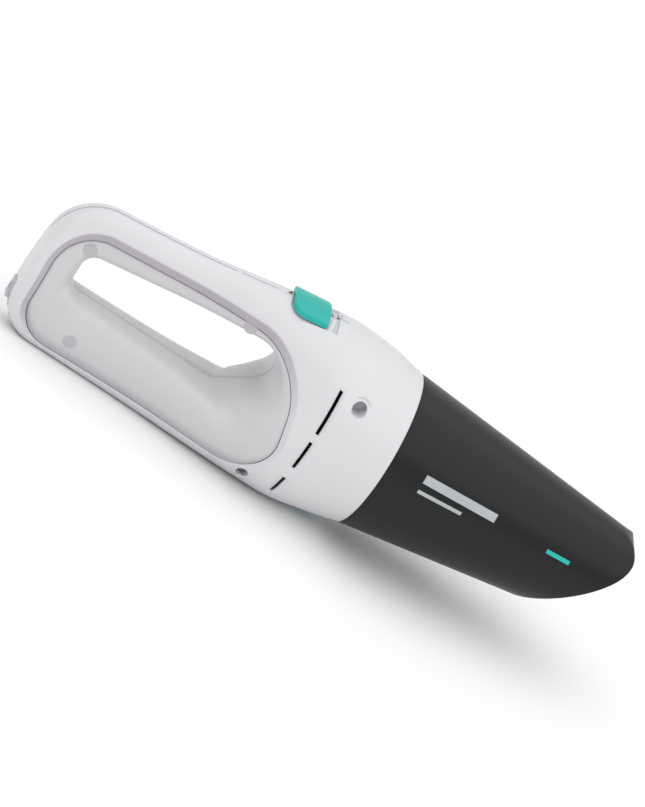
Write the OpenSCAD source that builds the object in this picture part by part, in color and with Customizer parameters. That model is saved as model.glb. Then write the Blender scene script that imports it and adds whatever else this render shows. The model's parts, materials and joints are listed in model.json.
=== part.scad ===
// Cordless handheld vacuum: a two-shell body with a D handle, and a dust cup that pulls off forwards.
// Every module is drawn in the motor's frame: X runs from the rear end to the nose, Z = 0 is the motor axis.

/* [Body] */
// Length of the body, from its rear end to the joint with the dust cup
body_length = 235; // [225:1:285]
// Diameter of the body where the dust cup meets it
seam_diameter = 100; // [92:1:122]
// Width of the body at its widest ring
body_width = 106; // [98:1:130]
// Height of the handle's top above the motor axis, at its rear end
handle_top = 47; // [44:0.5:57]
// Height of the body's top above the motor axis, at its highest ring
body_top = 58; // [55:0.5:70]
// Depth of the rest face below the motor axis, at the rear end
rest_depth = 46.2; // [44:0.2:56]
// Angle between the rest face and the motor axis
rest_angle = 3; // [2:0.1:4]
// Height that is taken off the round underside to make the rest face
rest_cut = 1.5; // [1:0.1:2.2]
// Width of the lower arm at the rear end
arm_width = 42; // [40:0.5:50]
// Width of the grip
grip_width = 32; // [30:0.5:38]
// Radius of the upper rear corner
corner_top = 30; // [25:1:33]
// Radius of the lower rear corner
corner_low = 25; // [20:1:28]
// Radius that rounds the rear end in plan
corner_plan = 10; // [6:0.5:11]
// Thickness of the housing wall
wall = 2.5; // [2:0.1:3]

/* [Handle loop] */
// Gap from the rear end to the hand opening
loop_rear = 27; // [26:0.5:30]
// Gap from the hand opening to the dust cup joint
loop_to_seam = 79; // [76:0.5:86]
// Height of the opening's roof above the motor axis, at its rear end
loop_roof = 17; // [15:0.5:18]
// Depth of the opening's floor below the motor axis, at its rear end
loop_floor = 7.5; // [6:0.5:8]
// Rise of the roof from the rear end of the opening to its front end
roof_rise = 9.5; // [8:0.5:10]
// Drop of the floor from the rear end of the opening to its front end
floor_drop = 5.5; // [4:0.5:6]
// Thickness of the liner wall
liner_wall = 2.2; // [1.8:0.1:2.4]
// Depth of the liner face below the body surface
liner_inset = 1.5; // [1:0.1:2]
// Extra depth of the liner face along the grip
liner_pinch = 3; // [1:0.5:4]
// Gap between the liner and the housing around it
liner_gap = 0.3; // [0.2:0.05:0.5]
// Growth of the opening from its narrowest place out to the body's widest ring
funnel_growth = 21; // [18:0.5:22]

/* [Switch] */
// Length of the sliding thumb button
slider_length = 23.5; // [20:0.5:25]
// Width of the thumb button
slider_width = 34; // [28:0.5:36]
// Height of the thumb button above the body
slider_height = 3; // [2:0.25:4]
// Travel of the thumb button from off to on
slider_travel = 6; // [4:0.5:6.5]
// Depth of the pocket that the thumb button slides in
slider_pocket = 1.2; // [0.8:0.1:1.5]

/* [Motor and fan] */
// Diameter of the motor can
motor_diameter = 36; // [28:0.5:38]
// Length of the motor can
motor_length = 46; // [38:0.5:48]
// Diameter of the motor shaft
shaft_diameter = 3.2; // [2.3:0.1:4]
// Diameter of the impeller
impeller_diameter = 66; // [54:1:70]
// Number of impeller blades
blade_count = 9; // [7:1:12]

/* [Battery] */
// Diameter of a cell
cell_diameter = 14; // [12:0.1:14.2]
// Length of a cell
cell_length = 50; // [42:0.5:50.5]

/* [Charging socket] */
// Width of the socket's bezel
socket_width = 10; // [9:0.5:12]
// Height of the socket's bezel
socket_height = 12; // [10:0.5:14]
// Bore for the charger's round plug
socket_bore = 5.6; // [5.2:0.1:6]
// Height that the bezel stands proud of the rear end
rear_reach = 1; // [0.5:0.1:1.5]

/* [Dust cup] */
// Length of the dust cup, from the joint to its foremost point
cup_length = 163; // [150:1:190]
// Wall of the dust cup
cup_wall = 2.2; // [1.8:0.1:2.6]
// Half-angle of the dust cup's taper
cup_taper = 7; // [6:0.1:8]
// Length of the cup's neck inside the body
neck_length = 2.5; // [2:0.1:3]
// Length of the filter in front of the bulkhead
filter_length = 62; // [50:1:70]
// Diameter of the filter at its base
filter_diameter = 78; // [70:1:82]

/* [Fasteners] */
// Diameter of a housing screw's head
screw_head = 5.4; // [5:0.1:5.8]
// Diameter of a housing screw's thread
screw_thread = 2.6; // [2.4:0.1:3]
// Diameter of a screw pocket
pocket_diameter = 8.6; // [7:0.1:9]

/* [Fits] */
// Gap around a piece that slides
slide_gap = 0.35; // [0.3:0.05:0.5]
// Radial gap of the shaft in its bearings
running_gap = 0.04; // [0.02:0.01:0.08]
// Gap between pieces that are fixed to each other
seat_gap = 0.15; // [0.1:0.05:0.3]

/* [Hidden] */
$fn = 48;

// Points round one ring of the body's skin, and the rings along it
ring_points = 40;
ring_count = 24;
// A cut runs this far past the face that it opens
past = 1;

// ---- Curves of the body ----
seam_radius = seam_diameter / 2;
widest_x = body_length - 45;
// Half-widths of the body at its widest ring, of the lower arm and of the grip, along the body
low_widths = [[0, arm_width / 2 - 2], [30, arm_width / 2], [60, arm_width / 2 + 1.5],
    [100, arm_width / 2 + 6.5], [body_length - 95, body_width / 2 - 13],
    [body_length - 68, body_width / 2 - 4], [widest_x, body_width / 2],
    [body_length - 20, body_width / 2 - 0.8], [body_length, seam_radius]];
top_widths = [[0, grip_width / 2 - 1], [30, grip_width / 2 - 0.5], [60, grip_width / 2],
    [100, grip_width / 2 + 1.5], [body_length - 95, grip_width / 2 + 12],
    [body_length - 68, body_width / 2 - 11], [widest_x, body_width / 2],
    [body_length - 20, body_width / 2 - 0.8], [body_length, seam_radius]];
top_line = [[0, handle_top - 1], [30, handle_top], [86, handle_top + 3], [body_length - 103, body_top - 3],
    [body_length - 68, body_top - 0.4], [widest_x, body_top], [body_length - 20, body_top - 3],
    [body_length, seam_radius]];
rest_slope = tan(rest_angle);
low_line = [for (x = [0, 40, 90, body_length - 103, body_length - 68, widest_x])
    [x, rest_depth + x * rest_slope + rest_cut]];
bottom_line = concat(low_line, [[body_length - 20, low_line[5][1] - 3.6], [body_length, seam_radius]]);
squareness = [[0, 3], [100, 2.8], [body_length - 85, 2.4], [widest_x, 2.05], [body_length, 2]];
// Heights between which the section narrows from the arm's width to the grip's
narrow_from = -12;
narrow_to = 34;

// Slope of a curve through points at point i, and the stretch that holds x
function slope_at(p, i) = let (a = max(i - 1, 0), b = min(i + 1, len(p) - 1))
    (p[b][1] - p[a][1]) / (p[b][0] - p[a][0]);
function stretch(p, x, i = 0) = (i >= len(p) - 2 || x <= p[i + 1][0]) ? i : stretch(p, x, i + 1);
// Value at x of the smooth curve through points p
function curve(p, x) =
    let (i = stretch(p, x), h = p[i + 1][0] - p[i][0], t = (x - p[i][0]) / h)
    p[i][1] * (2 * t * t * t - 3 * t * t + 1) + slope_at(p, i) * h * (t * t * t - 2 * t * t + t)
    + p[i + 1][1] * (3 * t * t - 2 * t * t * t) + slope_at(p, i + 1) * h * (t * t * t - t * t);
function smooth(t) = let (c = min(max(t, 0), 1)) c * c * (3 - 2 * c);
// What a corner of radius r takes off at x, on a surface that is moved in by d
function corner_loss(x, r, d) = x >= r ? 0 : (r - d) - sqrt(max(pow(r - d, 2) - pow(r - x, 2), 0));
function power(v, e) = sign(v) * pow(abs(v), e);

function top_at(x, d = 0) = curve(top_line, x) - d - corner_loss(x, corner_top, d);
// The floor inside stays a full wall above the rest face
function floor_lift(x) = rest_cut * (1 - smooth((x - widest_x) / 20));
function bottom_at(x, d = 0) =
    -curve(bottom_line, x) + d + (d > 0 ? floor_lift(x) : 0) + corner_loss(x, corner_low, d);
// Half-width of the body at x and z, moved in by d and narrowed by pinch along the grip
function half_width(x, z, d, pinch) =
    let (t = smooth((z - narrow_from) / (narrow_to - narrow_from)))
    (1 - t) * curve(low_widths, x) + t * (curve(top_widths, x) - pinch) - d - corner_loss(x, corner_plan, d);
function ring(x, d, pinch) =
    let (top = top_at(x, d), low = bottom_at(x, d), e = 2 / curve(squareness, x))
    [for (i = [0 : ring_points - 1])
        let (a = 360 * i / ring_points, z = (top + low) / 2 + (top - low) / 2 * power(sin(a), e))
        [x, half_width(x, z, d, pinch) * power(cos(a), e), z]];
// Rings lie close together at the rear end, where the corners curve
function ring_x(i, d) = let (f = i / ring_count) d + (body_length + past * (d > 0 ? 1 : 0) - d) * pow(f, 1.5);

// Solid inside the body's surface, moved in by d
module skin(d = 0, pinch = 0) {
    points = [for (i = [0 : ring_count]) each ring(ring_x(i, d), d, pinch)];
    last = ring_count * ring_points;
    sides = [for (i = [0 : ring_count - 1], j = [0 : ring_points - 1])
        let (k = (j + 1) % ring_points)
        each [[i * ring_points + j, (i + 1) * ring_points + j, (i + 1) * ring_points + k],
            [i * ring_points + j, (i + 1) * ring_points + k, i * ring_points + k]]];
    rear = [for (j = [0 : ring_points - 1]) j];
    front = [for (j = [ring_points - 1 : -1 : 0]) last + j];
    polyhedron(points, concat([rear], sides, [front]), convexity = 6);
}

// ---- Placing helpers ----
// Turns the motor's frame so that the rest face lies on Z = 0, under the middle of the whole object
nose_short = 1;
nose_middle = 18;
front_end = (body_length + cup_length - nose_short) * cos(rest_angle) - nose_middle * sin(rest_angle);
rear_end = -top_at(0) * sin(rest_angle);
origin_x = (front_end + rear_end) / 2;
module placed() {
    translate([-origin_x, 0, rest_depth * cos(rest_angle)]) rotate([0, -rest_angle, 0]) children();
}
// Extrudes a side view, drawn in X and Z, from y0 to y1
module across(y0, y1) {
    rotate([90, 0, 0]) translate([0, 0, -y1]) linear_extrude(y1 - y0) children();
}
// Round bar along X
module bar_x(x0, x1, d, f = 48) {
    translate([x0, 0, 0]) rotate([0, 90, 0]) cylinder(d = d, h = x1 - x0, $fn = f);
}
module ring_x_solid(x0, x1, outer, inner) {
    difference() {
        bar_x(x0, x1, outer, 96);
        bar_x(x0 - past, x1 + past, inner, 96);
    }
}
// Mirrors the right-hand piece to the left side
module left_side() {
    mirror([0, 1, 0]) children();
}
// Tube of diameter d along points, as one closed skin
function unit(v) = v / norm(v);
function heading(p, i) = unit(p[min(i + 1, len(p) - 1)] - p[max(i - 1, 0)]);
module tube_along(p, d, sides = 8) {
    n = len(p);
    points = [for (i = [0 : n - 1])
        let (t = heading(p, i), flat = abs(t[1]) < 0.9 ? [0, 1, 0] : [0, 0, 1],
            u = unit(cross(t, flat)), v = cross(t, u))
        for (j = [0 : sides - 1]) p[i] + d / 2 * (cos(360 * j / sides) * u + sin(360 * j / sides) * v)];
    walls = [for (i = [0 : n - 2], j = [0 : sides - 1])
        let (k = (j + 1) % sides)
        each [[i * sides + j, (i + 1) * sides + k, i * sides + k],
            [i * sides + j, (i + 1) * sides + j, (i + 1) * sides + k]]];
    start = [for (j = [0 : sides - 1]) j];
    end = [for (j = [sides - 1 : -1 : 0]) (n - 1) * sides + j];
    polyhedron(points, concat([start], walls, [end]), convexity = 10);
}

// ---- Side recess and hand opening, as side views ----
loop_front = body_length - loop_to_seam;
recess_front = loop_front + 18;
module recess_shape(grow = 0) {
    hull() {
        translate([36, loop_roof - 13]) circle(26 + grow);
        translate([33, -loop_floor - 14]) circle(22 + grow);
        translate([recess_front - 40, -4]) circle(37 + grow);
        translate([recess_front - 28, -16.5]) circle(28 + grow);
    }
}
module loop_shape(grow = 0) {
    hull() {
        translate([loop_rear + 8.5, loop_roof - 8.5]) circle(8.5 + grow);
        translate([loop_rear + 7.5, 7.5 - loop_floor]) circle(7.5 + grow);
        translate([loop_front - 15, loop_roof + roof_rise - 15]) circle(15 + grow);
        translate([loop_front - 31, 16 - loop_floor - floor_drop]) circle(16 + grow);
    }
}
// Space that the hand opening and its flared side take
funnel_from = 7;
module funnel(grow = 0) {
    across(-funnel_from - past, funnel_from + past) loop_shape(grow);
    hull() {
        across(-funnel_from - 0.02, -funnel_from) loop_shape(grow);
        across(-body_width / 2 - 0.02, -body_width / 2) loop_shape(grow + funnel_growth);
    }
}
module right_half(reach) {
    translate([-20, -reach, -reach]) cube([body_length + 60, reach, 2 * reach]);
}
module below_rest_face() {
    translate([0, 0, -rest_depth]) rotate([0, rest_angle, 0])
        translate([-50, -100, -50]) cube([body_length + 100, 200, 50]);
}

// ---- Screws: side-view places, and the side surface's distance from the middle there ----
liner_screws = [[loop_rear - 1.5, loop_roof + 3.5], [43.4, -31.5],
    [loop_front - 28, loop_roof + roof_rise + 5]];
body_screws = [[body_length - 32.5, 30.5], [body_length - 67, -43]];
head_depth = 9;
thread_gap = 0.4;
boss_wall = 1.2;
boss_diameter = pocket_diameter + 2 * boss_wall;
function side_at(p) = half_width(p[0], p[1], 0, 0)
    * power(1 - pow(abs(p[1] - (top_at(p[0]) + bottom_at(p[0])) / 2) / ((top_at(p[0]) - bottom_at(p[0])) / 2),
        curve(squareness, p[0])), 1 / curve(squareness, p[0]));
// Head seat of a screw, measured from the middle plane
function seat_y(p) = min(head_depth, side_at(p) - 9.7);
// Bore for a screw's thread, and the pocket that its head goes down
module screw_hole(p) {
    at_side(p) translate([0, 0, seat_y(p)]) cylinder(d = pocket_diameter, h = body_width, $fn = 32);
    at_side(p) translate([0, 0, -past]) cylinder(d = screw_thread + thread_gap, h = body_width, $fn = 24);
}
module at_side(p) {
    translate([p[0], 0, p[1]]) rotate([90, 0, 0]) children();
}
// Boss from the middle plane out to the wall, drawn as two rounds so that it drafts like a moulded one
module boss(p, reach, d) {
    hull() {
        at_side(p) cylinder(d = d, h = 1, $fn = 24);
        at_side(p) cylinder(d = d + 0.4, h = reach, $fn = 24);
    }
}

// ---- Switch frame on top of the body ----
slider_x = body_length - 81;
slider_tilt = 3.5;
module on_top() {
    translate([slider_x, 0, top_at(slider_x)]) rotate([0, -slider_tilt, 0]) children();
}
// Plan of the thumb button: round corners at the rear, square at the front
slider_round = 8;
module slider_plan(grow = 0) {
    hull() {
        for (side = [-1, 1]) {
            translate([slider_round - slider_length / 2, side * (slider_width / 2 - slider_round)])
                circle(slider_round + grow, $fn = 64);
        }
        translate([0, -slider_width / 2 - grow]) square([slider_length / 2 + grow, slider_width + 2 * grow]);
    }
}
stem_length = 10;
stem_width = 8;
carrier_top = -slider_pocket - 6;
// Round of the button's top across the body, and the same round a depth d lower
crown_radius = 38;
pocket_floor = 2;
module crown(d) {
    translate([-slider_length, 0, slider_height - crown_radius]) rotate([0, 90, 0])
        cylinder(r = crown_radius - d, h = 3 * slider_length, $fn = 160);
}

// ---- Motor and fan places ----
motor_x = body_length - 25 - motor_length;
motor_front = motor_x + motor_length;
mount_plate = 2;
fan_x = motor_front + 3;
impeller_height = 10;
shroud_wall = 1.8;
shroud_front = fan_x + impeller_height + 2.5;
bulkhead_thick = 2.5;
bulkhead_x = body_length - 6;
shroud_radius = impeller_diameter / 2 + 4;
bulkhead_radius = seam_radius - wall - seat_gap - 0.6;
rib_reach = 5;

// ---- Housing ----
vent_x = body_length - 47;
vent_width = 2.2;
// Start and end of each vent slot, as angles up from the side
vent_arcs = [[9, 40], [-23, 1], [-54, -31]];
// Depth of the ledge that stiffens the housing round the recess
ledge_depth = 4.5;
// Depth of the liner's rim below the body surface, and its thickness
liner_rim = liner_inset + liner_wall + 0.3;
liner_edge = 1.1;
button_x = body_length - 16;
button_length = 12;
button_width = 12;

module vents() {
    for (arc = vent_arcs) {
        translate([vent_x, 0, 0]) rotate([0, 90, 0]) rotate([0, 0, 270 - arc[1]])
            rotate_extrude(angle = arc[1] - arc[0], $fn = 90)
            translate([seam_radius - 12, -vent_width / 2]) square([30, vent_width]);
    }
}
module housing_shell() {
    difference() {
        union() {
            difference() {
                skin(0);
                skin(wall);
            }
            intersection() {
                skin(wall / 2);
                union() {
                    difference() {
                        across(-body_width, 0) recess_shape(wall);
                        skin(ledge_depth);
                    }
                    for (p = body_screws) boss(p, side_at(p), boss_diameter);
                    on_top() difference() {
                        translate([-slider_length / 2 - 3, -slider_width / 2 - 2, -12])
                            cube([slider_length + slider_travel + 6, slider_width + 4, 14]);
                        crown(slider_height + slider_pocket + pocket_floor);
                    }
                    ring_x_solid(bulkhead_x - 2.2, bulkhead_x, 2 * seam_radius + 6,
                        2 * (bulkhead_radius - rib_reach + 2));
                    ring_x_solid(motor_front + 0.2, motor_front + mount_plate - 0.4, 2 * seam_radius + 12,
                        2 * (shroud_radius + 6));
                }
            }
        }
        below_rest_face();
        across(-body_width, past) recess_shape(0);
        vents();
        for (p = body_screws) screw_hole(p);
        on_top() difference() {
            translate([0, 0, -12]) linear_extrude(30) hull() {
                slider_plan(slide_gap);
                translate([slider_travel, 0]) slider_plan(slide_gap);
            }
            crown(slider_height + slider_pocket);
        }
        on_top() translate([-stem_length / 2 - slide_gap, -stem_width / 2 - slide_gap, -20])
            cube([stem_length + slider_travel + 2 * slide_gap, stem_width + 2 * slide_gap, 30]);
        translate([button_x - button_length / 2 - slide_gap, -button_width / 2 - slide_gap, -body_width])
            cube([button_length + 2 * slide_gap, button_width + 2 * slide_gap, body_width - 20]);
        socket_hole();
        light_hole();
    }
}
module housing_right() {
    color("whitesmoke") intersection() {
        housing_shell();
        right_half(100);
    }
}
module housing_left() {
    color("whitesmoke") left_side() intersection() {
        housing_shell();
        right_half(100);
    }
}

// ---- Loop liner ----
module liner() {
    difference() {
        intersection() {
            skin(liner_inset, liner_pinch);
            across(-body_width, 0) recess_shape(-liner_gap);
            right_half(100);
        }
        difference() {
            union() {
                intersection() {
                    skin(liner_inset + liner_wall, liner_pinch);
                    across(-body_width, past) recess_shape(-liner_gap - liner_edge);
                }
                intersection() {
                    skin(liner_rim, liner_pinch);
                    across(-body_width, past) recess_shape(0);
                }
            }
            funnel(liner_wall);
            for (p = liner_screws) boss(p, side_at(p), boss_diameter);
        }
        funnel(0);
        for (p = liner_screws) screw_hole(p);
    }
}
module loop_liner_right() {
    color("gainsboro") liner();
}
module loop_liner_left() {
    color("gainsboro") left_side() liner();
}
plug_thick = 2;
plug_sunk = 1;
// Inner face of a plug, whose outer face lies just below the liner's
function plug_y(p) = side_at(p) - liner_inset
    - liner_pinch * smooth((p[1] - narrow_from) / (narrow_to - narrow_from)) - plug_thick - plug_sunk;
module screw_plugs() {
    color("silver") intersection() {
        union() for (p = liner_screws) {
            at_side(p) translate([0, 0, plug_y(p)])
                cylinder(d = pocket_diameter - 2 * seat_gap, h = plug_thick);
        }
        across(-body_width, 0) recess_shape(-liner_gap - seat_gap);
    }
}
screw_grip = 8;
module housing_screws() {
    color("dimgray") for (p = concat(liner_screws, body_screws)) {
        at_side(p) translate([0, 0, seat_y(p) + 0.05]) cylinder(d = screw_head, h = 1.8);
        at_side(p) translate([0, 0, -screw_grip])
            cylinder(d = screw_thread, h = seat_y(p) + screw_grip + 0.1);
    }
}

// ---- Switch ----
module switch_slider() {
    color("darkturquoise") on_top() {
        difference() {
            intersection() {
                translate([0, 0, -12]) linear_extrude(30) slider_plan(0);
                crown(0);
            }
            crown(slider_height + slider_pocket - slide_gap);
        }
        translate([-stem_length / 2, -stem_width / 2, carrier_top])
            cube([stem_length, stem_width, -carrier_top]);
    }
}
carrier_thick = 2;
module switch_carrier() {
    color("dimgray") on_top() difference() {
        translate([-stem_length / 2 - 3, -stem_width / 2 - 4, carrier_top - carrier_thick])
            cube([stem_length + 6, stem_width + 8, carrier_thick]);
        translate([-1.5, -1.5, carrier_top - carrier_thick - past]) cube([3, 3, carrier_thick / 2 + past]);
    }
}
module power_switch() {
    color("black") on_top() translate([-11, -6, carrier_top - carrier_thick - slide_gap - 13]) {
        cube([24, 12, 13]);
        translate([-2.5, 4, 3]) cube([2.6, 1, 6]);
        translate([-2.5, 7, 3]) cube([2.6, 1, 6]);
    }
}

// ---- Battery ----
web = 0.8;
cell_pitch = cell_diameter + web + 2 * seat_gap;
pack_x = 58;
pack_z = -27.3;
pack_tilt = 3;
strap_thick = 0.3;
module in_arm() {
    translate([pack_x, 0, pack_z]) rotate([0, pack_tilt, 0]) children();
}
// Rows and columns of the seven cells: two groups of four places, one of them empty
cell_places = [for (g = [0, 1], row = [-1, 1], side = [-1, 1])
    if (!(g == 1 && row == 1 && side == 1)) [g, row, side]];
group_pitch = cell_length + 1 + 2 * strap_thick;
module battery_cells() {
    color("seagreen") in_arm() for (c = cell_places) {
        translate([c[0] * group_pitch + strap_thick, c[2] * cell_pitch / 2, c[1] * cell_pitch / 2])
            bar_x(0, cell_length, cell_diameter);
    }
}
module cell_straps() {
    color("lightgray") in_arm() {
        for (side = [-1, 1]) {
            translate([strap_thick / 2 - 0.2, side * cell_pitch / 2 - 3, -cell_pitch / 2 - 3])
                cube([strap_thick, 6, cell_pitch + 6]);
        }
        translate([cell_length + strap_thick + 0.1, -cell_pitch / 2 - 3, -cell_pitch / 2 - 3])
            cube([strap_thick, cell_pitch + 6, 6]);
        translate([group_pitch + cell_length + strap_thick + 0.05, -cell_pitch / 2 - 3, -cell_pitch / 2 - 3])
            cube([strap_thick, cell_pitch + 6, 6]);
    }
}
module cell_cradle() {
    length = group_pitch + cell_length;
    color("dimgray") in_arm() difference() {
        union() {
            translate([1, -cell_pitch / 2, -web / 2]) cube([length - 2, cell_pitch, web]);
            translate([1, -web / 2, -cell_pitch / 2]) cube([length - 2, web, cell_pitch]);
        }
        translate([cell_length - 1, -20, -20]) cube([4, 40, 40]);
    }
}

// ---- Charging ----
socket_z = -26;
socket_depth = 9;
socket_pin = 2;
module socket_block(x0, length, width, height) {
    translate([x0, -width / 2, socket_z - height / 2]) cube([length, width, height]);
}
module socket_hole() {
    socket_block(-7, 10 + wall, socket_width + 2 * seat_gap, socket_height + 2 * seat_gap);
}
module charging_socket() {
    color("silver") difference() {
        union() {
            socket_block(-rear_reach, rear_reach + wall, socket_width, socket_height);
            socket_block(0, socket_depth + 1.5, socket_width - 1, socket_bore + 4);
        }
        translate([0, 0, socket_z]) bar_x(-rear_reach - past, socket_depth, socket_bore);
    }
    color("silver") translate([0, 0, socket_z]) bar_x(-rear_reach + 1.5, socket_depth + past, socket_pin);
}
board_x = 14;
module circuit_board() {
    color("darkgreen") translate([board_x, -7.5, socket_z - 8]) cube([1.6, 15, 24]);
    color("black") translate([board_x + 1.5, -4, socket_z - 4]) cube([3.5, 8, 8]);
    color("black") translate([board_x + 1.5, 2, socket_z + 6]) cube([6, 5, 5]);
}
light_z = 2;
light_diameter = 3;
module light_hole() {
    translate([0, 0, light_z]) bar_x(-5, 8, light_diameter + 2 * seat_gap);
}
module charge_light() {
    color("red") translate([0, 0, light_z]) {
        bar_x(0.1, 5.5, light_diameter);
        bar_x(4.5, 5.5, light_diameter + 1);
    }
}

// ---- Leads ----
lead_diameter = 1.8;
// Routes of the leads: board to switch through the rear post and the grip, switch to motor, cells to motor
pack_end = pack_x + 2 * cell_length + 3;
lead_routes = [
    [[23.6, -1, -24], [23.4, -1, -14], [22, 0, -4], [19.5, 0, 8], [17.5, 0, 19], [20, 0, 27],
        [28, 0, 31.5], [44, 0, 33], [70, 0, 35.5], [100, 0, 38.5], [120, 2, 41], [body_length - 98, 4, 40]],
    [[body_length - 98, 8, 40], [body_length - 96, 9.5, 34], [body_length - 84, 9, 28],
        [body_length - 77, 8, 22], [body_length - 73.5, 6, 12]],
    [[pack_end + 1.3, 3, -36], [pack_end + 1.8, 2, -29], [pack_end + 1.2, -2, -21],
        [pack_end + 1.8, -5, -12]]];
lead_colours = ["firebrick", "firebrick", "black"];
module leads() {
    for (i = [0 : len(lead_routes) - 1]) {
        color(lead_colours[i]) tube_along(lead_routes[i], lead_diameter);
    }
}

// ---- Motor ----
can_wall = 1.2;
can_bore = motor_diameter - 2 * can_wall;
bearing_diameter = 8;
bearing_length = 4;
cap_length = 5;
armature_diameter = 21;
magnet_inner = armature_diameter + 1.2;
module motor_can() {
    color("silver") difference() {
        bar_x(motor_x + cap_length, motor_front, motor_diameter, 96);
        bar_x(motor_x, motor_front - can_wall, can_bore, 96);
        bar_x(motor_x, motor_front + past, bearing_diameter + 2 * seat_gap);
    }
}
module motor_end_cap() {
    color("black") difference() {
        union() {
            bar_x(motor_x + 1, motor_x + cap_length, motor_diameter, 96);
            bar_x(motor_x + cap_length, motor_x + cap_length + 2, can_bore - 2 * seat_gap, 96);
        }
        bar_x(motor_x - past, motor_front, bearing_diameter + 2 * seat_gap);
        bar_x(motor_x + 3, motor_front, motor_diameter - 14);
    }
}
module motor_magnets() {
    color("dimgray") difference() {
        ring_x_solid(motor_x + 9, motor_front - 6, can_bore - 2 * seat_gap, magnet_inner);
        translate([motor_x, -motor_diameter, -2.5]) cube([motor_length, 2 * motor_diameter, 5]);
    }
}
module motor_armature() {
    color("peru") difference() {
        union() {
            bar_x(motor_x + 13, motor_front - 9, armature_diameter, 72);
            bar_x(motor_x + 5.5, motor_x + 13.5, shaft_diameter + 6);
        }
        bar_x(motor_x, motor_front, shaft_diameter);
    }
}
module motor_bearings() {
    color("goldenrod") {
        for (x = [motor_x + 1, motor_front - bearing_length]) {
            ring_x_solid(x, x + bearing_length, bearing_diameter, shaft_diameter + 2 * running_gap);
        }
    }
}
module motor_shaft() {
    color("lightsteelblue") bar_x(motor_x - 1, fan_x + impeller_height - 1, shaft_diameter);
}
blade_thick = 1.2;
blade_lean = 14;
blade_inset = 1.5;
hub_diameter = shaft_diameter + 6;
blade_span = (impeller_diameter - hub_diameter) / 2 - blade_inset;
module impeller() {
    color("black") difference() {
        union() {
            bar_x(fan_x, fan_x + 1.6, impeller_diameter, 96);
            bar_x(fan_x, fan_x + impeller_height, hub_diameter);
            for (i = [0 : blade_count - 1]) {
                rotate([360 * i / blade_count, 0, 0])
                    translate([fan_x + 1, -blade_thick / 2, hub_diameter / 2 - 0.7])
                    rotate([blade_lean, 0, 0])
                    cube([impeller_height - 2, blade_thick, blade_span]);
            }
        }
        bar_x(fan_x - past, fan_x + impeller_height + past, shaft_diameter);
    }
}
module motor_mount() {
    color("darkslategray") difference() {
        union() {
            bar_x(motor_front + 0.1, motor_front + mount_plate, 2 * shroud_radius, 96);
            ring_x_solid(motor_front - 12, motor_front + mount_plate, motor_diameter + 2 * seat_gap + 5.4,
                motor_diameter + 2 * seat_gap + 2);
        }
        bar_x(motor_x, fan_x, bearing_diameter + 4);
        for (i = [0 : 7]) {
            rotate([45 * (i + 0.5), 0, 0]) translate([0, 0, shroud_radius - 8])
                bar_x(motor_front - past, fan_x, 6, 24);
        }
    }
}
module motor_isolator() {
    color("black") ring_x_solid(motor_front - 10, motor_front - 4, motor_diameter + 2 * seat_gap + 2,
        motor_diameter + seat_gap);
}
eye_diameter = 26;
module fan_shroud() {
    color("darkslategray") difference() {
        union() {
            ring_x_solid(motor_front + mount_plate + 0.1, shroud_front, 2 * shroud_radius,
                2 * (shroud_radius - shroud_wall));
            ring_x_solid(shroud_front - shroud_wall, shroud_front, 2 * shroud_radius, eye_diameter);
            ring_x_solid(shroud_front - 0.5, bulkhead_x + 0.3, eye_diameter + 20, eye_diameter);
            ring_x_solid(bulkhead_x + 0.2, bulkhead_x + 0.2 + bulkhead_thick, 2 * bulkhead_radius,
                eye_diameter);
            translate([button_x - 6, -5, -shroud_radius - 0.6]) cube([12, 10, 2]);
        }
        for (i = [0 : 9]) {
            rotate([36 * i, 0, 0]) translate([fan_x + 1, -4, shroud_radius - 5]) cube([6, 8, 8]);
        }
    }
}

// ---- Cup release ----
button_travel = 2.5;
spring_diameter = 6;
spring_wire = 0.7;
spring_turns = 4;
button_low = bottom_at(button_x);
button_flange = 1.4;
flange_z = button_low + wall + 2.6;
module release_button() {
    color("darkturquoise") {
        translate([button_x - button_length / 2, -button_width / 2, button_low + 0.7])
            cube([button_length, button_width, flange_z - button_low]);
        translate([button_x - button_length / 2 - 1, -button_width / 2 - 1.5, flange_z])
            cube([button_length + 2, button_width + 3, button_flange]);
    }
}
spring_from = flange_z + button_flange;
spring_length = 7;
module release_spring() {
    steps = 16;
    path = [for (i = [0 : steps * spring_turns])
        let (a = 360 * i / steps)
        [button_x + spring_diameter / 2 * cos(a), spring_diameter / 2 * sin(a),
            spring_from + spring_wire / 2 + (spring_length - spring_wire) * i / (steps * spring_turns)]];
    color("silver") tube_along(path, spring_wire, 6);
}

// ---- Dust cup ----
cup_end = body_length + cup_length;
function cup_radius(x) = seam_radius - (x - body_length) * tan(cup_taper);
// Height of the nose above the axis, place of the mouth's lower end, and how far the mouth bulges
nose_z = 17;
mouth_back = cup_end - 53;
mouth_bulge = 2;
nose_round = 11;
// Side view of the cup, moved in by d. Its mouth slants back from the nose
module cup_outline(d) {
    start = body_length - 10;
    polygon([[start, -cup_radius(start) + d], [cup_end + 9, -cup_radius(cup_end + 9) + d],
        [cup_end + 9, cup_radius(cup_end + 9) - d], [start, cup_radius(start) - d]]);
}
module mouth_cut(d) {
    low = -cup_radius(mouth_back);
    polygon([[body_length - 20, -90], [mouth_back - 40 - d, low - 40], [mouth_back - d, low],
        [(mouth_back + cup_end + mouth_bulge) / 2, (low + nose_z - mouth_bulge) / 2], [cup_end - d, nose_z],
        [cup_end - d, 90], [body_length - 20, 90]]);
}
module cup_side(d) {
    offset(r = nose_round - d) offset(delta = d - nose_round) intersection() {
        cup_outline(d);
        mouth_cut(d);
    }
}
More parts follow.
